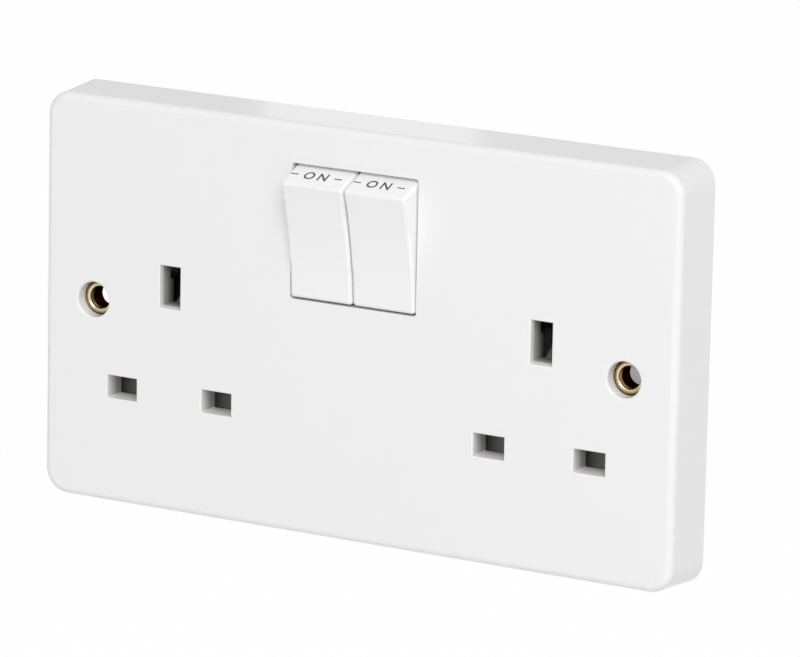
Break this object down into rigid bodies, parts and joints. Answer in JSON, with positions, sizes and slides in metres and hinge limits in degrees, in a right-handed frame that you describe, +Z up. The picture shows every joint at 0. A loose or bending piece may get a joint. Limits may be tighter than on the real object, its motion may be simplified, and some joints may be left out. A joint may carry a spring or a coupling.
{
  "type": "twin switched wall socket",
  "caption": "Wall-mounted mains socket plate with side-by-side shuttered outlets and rocker switches, with a moulded rear base that holds the contacts and terminals.",
  "frame": {"origin": "centre of the plate's back rim, on the wall", "axes": "+X right seen from the front, +Y into the wall, +Z up"},
  "size_m": [0.1448, 0.0311, 0.0844],
  "materials": {
    "white_plastic": "smooth white moulded plastic",
    "base_plastic": "plain off-white moulded plastic",
    "shutter_plastic": "plain grey moulded plastic",
    "plunger_plastic": "natural nylon",
    "brass": "stamped brass",
    "eyelet_brass": "rolled brass",
    "silver": "silver contact facing",
    "steel": "zinc-plated steel"
  },
  "bodies": {
    "socket": {"face_plate": "white_plastic", "base": "base_plastic", "fixed_tips": "silver", "neutral_bar": "brass", "line_bar": "brass", "earth_bar": "brass", "neutral_terminal": "brass", "earth_terminal": "brass", "line_terminal": "brass", "terminal_screws": "steel", "base_screws": "steel", "left_shutter_spring": "steel", "left_earth_guide": "shutter_plastic", "left_line_contact": "brass", "left_earth_strap": "brass", "left_eyelet": "eyelet_brass", "right_shutter_spring": "steel", "right_earth_guide": "shutter_plastic", "right_line_contact": "brass", "right_earth_strap": "brass", "right_eyelet": "eyelet_brass"},
    "left_rocker": {"left_rocker": "white_plastic", "left_plunger": "plunger_plastic", "left_plunger_spring": "steel"},
    "left_moving_contact": {"left_moving_contact": "brass", "left_moving_tip": "silver"},
    "left_shutter": {"left_shutter": "shutter_plastic"},
    "right_rocker": {"right_rocker": "white_plastic", "right_plunger": "plunger_plastic", "right_plunger_spring": "steel"},
    "right_moving_contact": {"right_moving_contact": "brass", "right_moving_tip": "silver"},
    "right_shutter": {"right_shutter": "shutter_plastic"}
  },
  "joints": [
    {"name": "left_rocker_tilt", "type": "hinge", "parent": "socket", "child": "left_rocker", "pos_m": [-0.0071, -0.0086, 0.01985], "axis": [-1, 0, 0], "range_deg": [0, 22.6]},
    {"name": "left_contact_tilt", "type": "hinge", "parent": "socket", "child": "left_moving_contact", "pos_m": [-0.0071, 0.0047, 0.01985], "axis": [1, 0, 0], "range_deg": [0, 18]},
    {"name": "left_shutter_slide", "type": "slide", "parent": "socket", "child": "left_shutter", "axis": [0, 0, -1], "range_m": [0, 0.0054], "stiffness_N_per_m": 150, "springref_m": -0.006, "deforming": ["left_shutter_spring"]},
    {"name": "right_rocker_tilt", "type": "hinge", "parent": "socket", "child": "right_rocker", "pos_m": [0.0071, -0.0086, 0.01985], "axis": [-1, 0, 0], "range_deg": [0, 22.6]},
    {"name": "right_contact_tilt", "type": "hinge", "parent": "socket", "child": "right_moving_contact", "pos_m": [0.0071, 0.0047, 0.01985], "axis": [1, 0, 0], "range_deg": [0, 18]},
    {"name": "right_shutter_slide", "type": "slide", "parent": "socket", "child": "right_shutter", "axis": [0, 0, -1], "range_m": [0, 0.0054], "stiffness_N_per_m": 150, "springref_m": -0.006, "deforming": ["right_shutter_spring"]}
  ],
  "couplings": [
    {"joint": "left_contact_tilt", "follows": "left_rocker_tilt", "ratio": 0.79646},
    {"joint": "right_contact_tilt", "follows": "right_rocker_tilt", "ratio": 0.79646}
  ]
}
